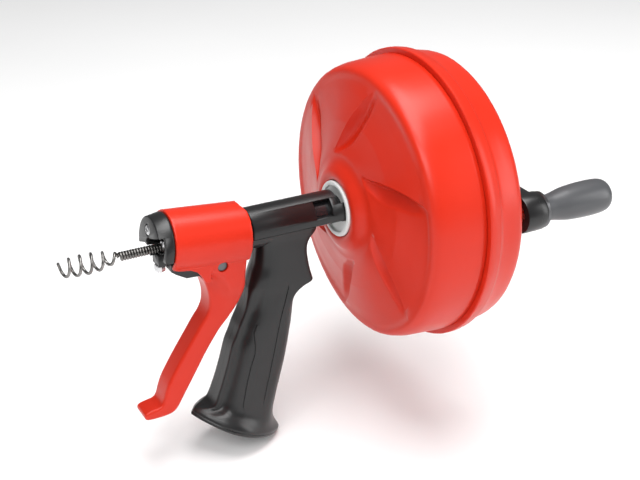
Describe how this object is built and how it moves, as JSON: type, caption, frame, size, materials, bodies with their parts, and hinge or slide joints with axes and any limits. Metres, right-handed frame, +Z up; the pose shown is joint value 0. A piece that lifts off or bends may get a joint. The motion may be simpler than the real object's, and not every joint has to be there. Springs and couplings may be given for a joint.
{
  "type": "drain snake machine",
  "caption": "Hand-held drain snake: a spinning red drum of steel cable with a rear crank, on a black pistol grip whose trigger hood presses feed rollers on the cable.",
  "frame": {"origin": "middle of the drive shank's free end, on the axis that the drum spins about", "axes": "+X along the spin axis from the nose to the crank, the cable leaves towards -X; +Z up; the pistol grip hangs towards -Z; the near side with the crank arm at rest is -Y"},
  "size_m": [0.375, 0.207, 0.2693],
  "materials": {
    "red_plastic": "satin injection-moulded orange-red plastic",
    "black_plastic": "satin black glass-filled plastic, lightly textured",
    "handle_plastic": "satin dark grey plastic",
    "bushing_plastic": "smooth off-white bearing plastic",
    "zinc_steel": "bright zinc-plated steel",
    "dark_steel": "blackened steel",
    "cable_steel": "oiled music-wire steel"
  },
  "bodies": {
    "gun_body": {"grip_shell_left": "black_plastic", "grip_shell_right": "black_plastic", "grip_screws": "zinc_steel", "barrel_cover": "black_plastic", "spindle_tube": "black_plastic", "guide_tube": "zinc_steel", "thrust_washer": "bushing_plastic", "retaining_ring": "zinc_steel", "pivot_pin": "dark_steel", "trigger_spring": "dark_steel", "roller_bracket": "black_plastic", "bracket_nut": "zinc_steel", "lower_roller_pin": "zinc_steel"},
    "drum": {"drum_front_shell": "red_plastic", "drum_rear_shell": "red_plastic", "drum_bushing": "bushing_plastic", "drive_plate": "zinc_steel", "plate_screws": "zinc_steel", "drive_shank": "zinc_steel", "cable_coil": "cable_steel", "cable_lead": "cable_steel", "cable_anchor": "zinc_steel", "crank_arm": "black_plastic", "crank_washer": "zinc_steel", "crank_nut": "zinc_steel", "knob_axle": "zinc_steel", "knob_washer": "zinc_steel"},
    "crank_knob": {"crank_knob": "handle_plastic", "knob_cap": "handle_plastic"},
    "cable": {"cable_core": "cable_steel", "bulb_auger": "cable_steel"},
    "trigger": {"trigger_lever": "red_plastic", "nose_block": "black_plastic", "nose_screw": "zinc_steel", "upper_roller_studs": "zinc_steel"},
    "upper_roller_near": {"upper_roller_near": "zinc_steel"},
    "upper_roller_far": {"upper_roller_far": "zinc_steel"},
    "lower_roller": {"lower_roller": "zinc_steel"}
  },
  "joints": [
    {"name": "drum_spin", "type": "hinge", "parent": "gun_body", "child": "drum", "pos_m": [-0.118, 0, 0], "axis": [1, 0, 0], "continuous": true},
    {"name": "knob_spin", "type": "hinge", "parent": "drum", "child": "crank_knob", "pos_m": [0.022, -0.08021, 0.00681], "axis": [1, 0, 0], "continuous": true},
    {"name": "cable_feed", "type": "slide", "parent": "drum", "child": "cable", "axis": [-1, 0, 0], "range_m": [0, 0.14]},
    {"name": "trigger_pivot", "type": "hinge", "parent": "gun_body", "child": "trigger", "pos_m": [-0.2187, 0, -0.0155], "axis": [0, -1, 0], "range_deg": [0, 5], "stiffness_Nm_per_rad": 1.5, "springref_deg": -8.59},
    {"name": "near_roller_spin", "type": "hinge", "parent": "trigger", "child": "upper_roller_near", "pos_m": [-0.25138, -0.00587, 0.00572], "axis": [0.9953, 0.0706, 0.067], "continuous": true},
    {"name": "far_roller_spin", "type": "hinge", "parent": "trigger", "child": "upper_roller_far", "pos_m": [-0.25138, 0.00587, 0.00572], "axis": [0.9659, 0.0706, -0.2489], "continuous": true},
    {"name": "lower_roller_spin", "type": "hinge", "parent": "gun_body", "child": "lower_roller", "pos_m": [-0.2532, 0, -0.00643], "axis": [1, 0, 0], "continuous": true}
  ]
}
